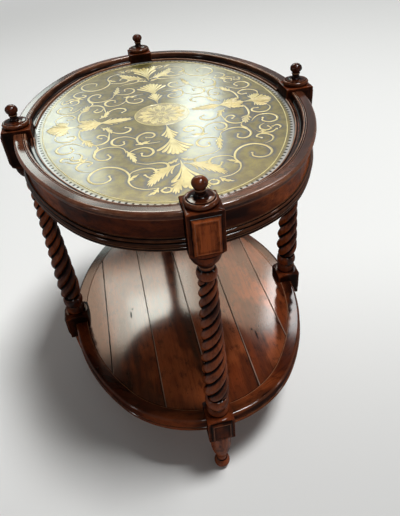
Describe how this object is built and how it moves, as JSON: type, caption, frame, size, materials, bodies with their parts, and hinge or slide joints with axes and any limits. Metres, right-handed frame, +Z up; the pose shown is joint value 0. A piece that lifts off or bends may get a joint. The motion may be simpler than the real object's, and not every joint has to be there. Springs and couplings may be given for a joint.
{
  "type": "oval accent table",
  "caption": "Oval accent table with a moulded tray top round a brass panel, rope-twist posts with ball finials, and a planked oval shelf above small turned feet.",
  "frame": {"origin": "centre of the footprint of the whole table, on the floor", "axes": "+Z up, +Y along the table's long side, +X along its short side"},
  "size_m": [0.564, 0.738, 0.6775],
  "materials": {
    "mahogany": "dark mahogany stain under satin lacquer, rubbed lighter on the edges",
    "dark_moulding": "near-black glaze left in the reeds",
    "shelf_plank": "red-brown stain under satin lacquer, darker towards the edge",
    "secondary_wood": "plain unstained secondary wood, out of sight",
    "antique_brass": "aged satin brass with dark patina in the engraving",
    "steel": "plain"
  },
  "bodies": {
    "root": {"rim_front_right": "mahogany", "rim_back_right": "mahogany", "rim_back_left": "mahogany", "rim_front_left": "mahogany", "apron_front_right": "mahogany", "apron_back_right": "mahogany", "apron_back_left": "mahogany", "apron_front_left": "mahogany", "base_strip_front_right": "dark_moulding", "base_strip_back_right": "dark_moulding", "base_strip_back_left": "dark_moulding", "base_strip_front_left": "dark_moulding", "shelf_border_front_right": "mahogany", "shelf_border_back_right": "mahogany", "shelf_border_back_left": "mahogany", "shelf_border_front_left": "mahogany", "upper_block_right": "mahogany", "upper_block_back": "mahogany", "upper_block_left": "mahogany", "upper_block_front": "mahogany", "upper_tablet_right": "mahogany", "upper_tablet_back": "mahogany", "upper_tablet_left": "mahogany", "upper_tablet_front": "mahogany", "finial_right": "mahogany", "finial_back": "mahogany", "finial_left": "mahogany", "finial_front": "mahogany", "spindle_right": "mahogany", "spindle_back": "mahogany", "spindle_left": "mahogany", "spindle_front": "mahogany", "lower_block_right": "mahogany", "lower_block_back": "mahogany", "lower_block_left": "mahogany", "lower_block_front": "mahogany", "lower_tablet_right": "mahogany", "lower_tablet_back": "mahogany", "lower_tablet_left": "mahogany", "lower_tablet_front": "mahogany", "foot_right": "mahogany", "foot_back": "mahogany", "foot_left": "mahogany", "foot_front": "mahogany", "plank_1": "shelf_plank", "plank_2": "shelf_plank", "plank_3": "shelf_plank", "plank_4": "shelf_plank", "plank_5": "shelf_plank", "plank_6": "shelf_plank", "deck_board": "secondary_wood", "brass_panel": "antique_brass", "glue_blocks": "secondary_wood", "batten_front": "secondary_wood", "batten_back": "secondary_wood", "shelf_screws": "steel", "foot_glides": "steel"}
  },
  "joints": []
}
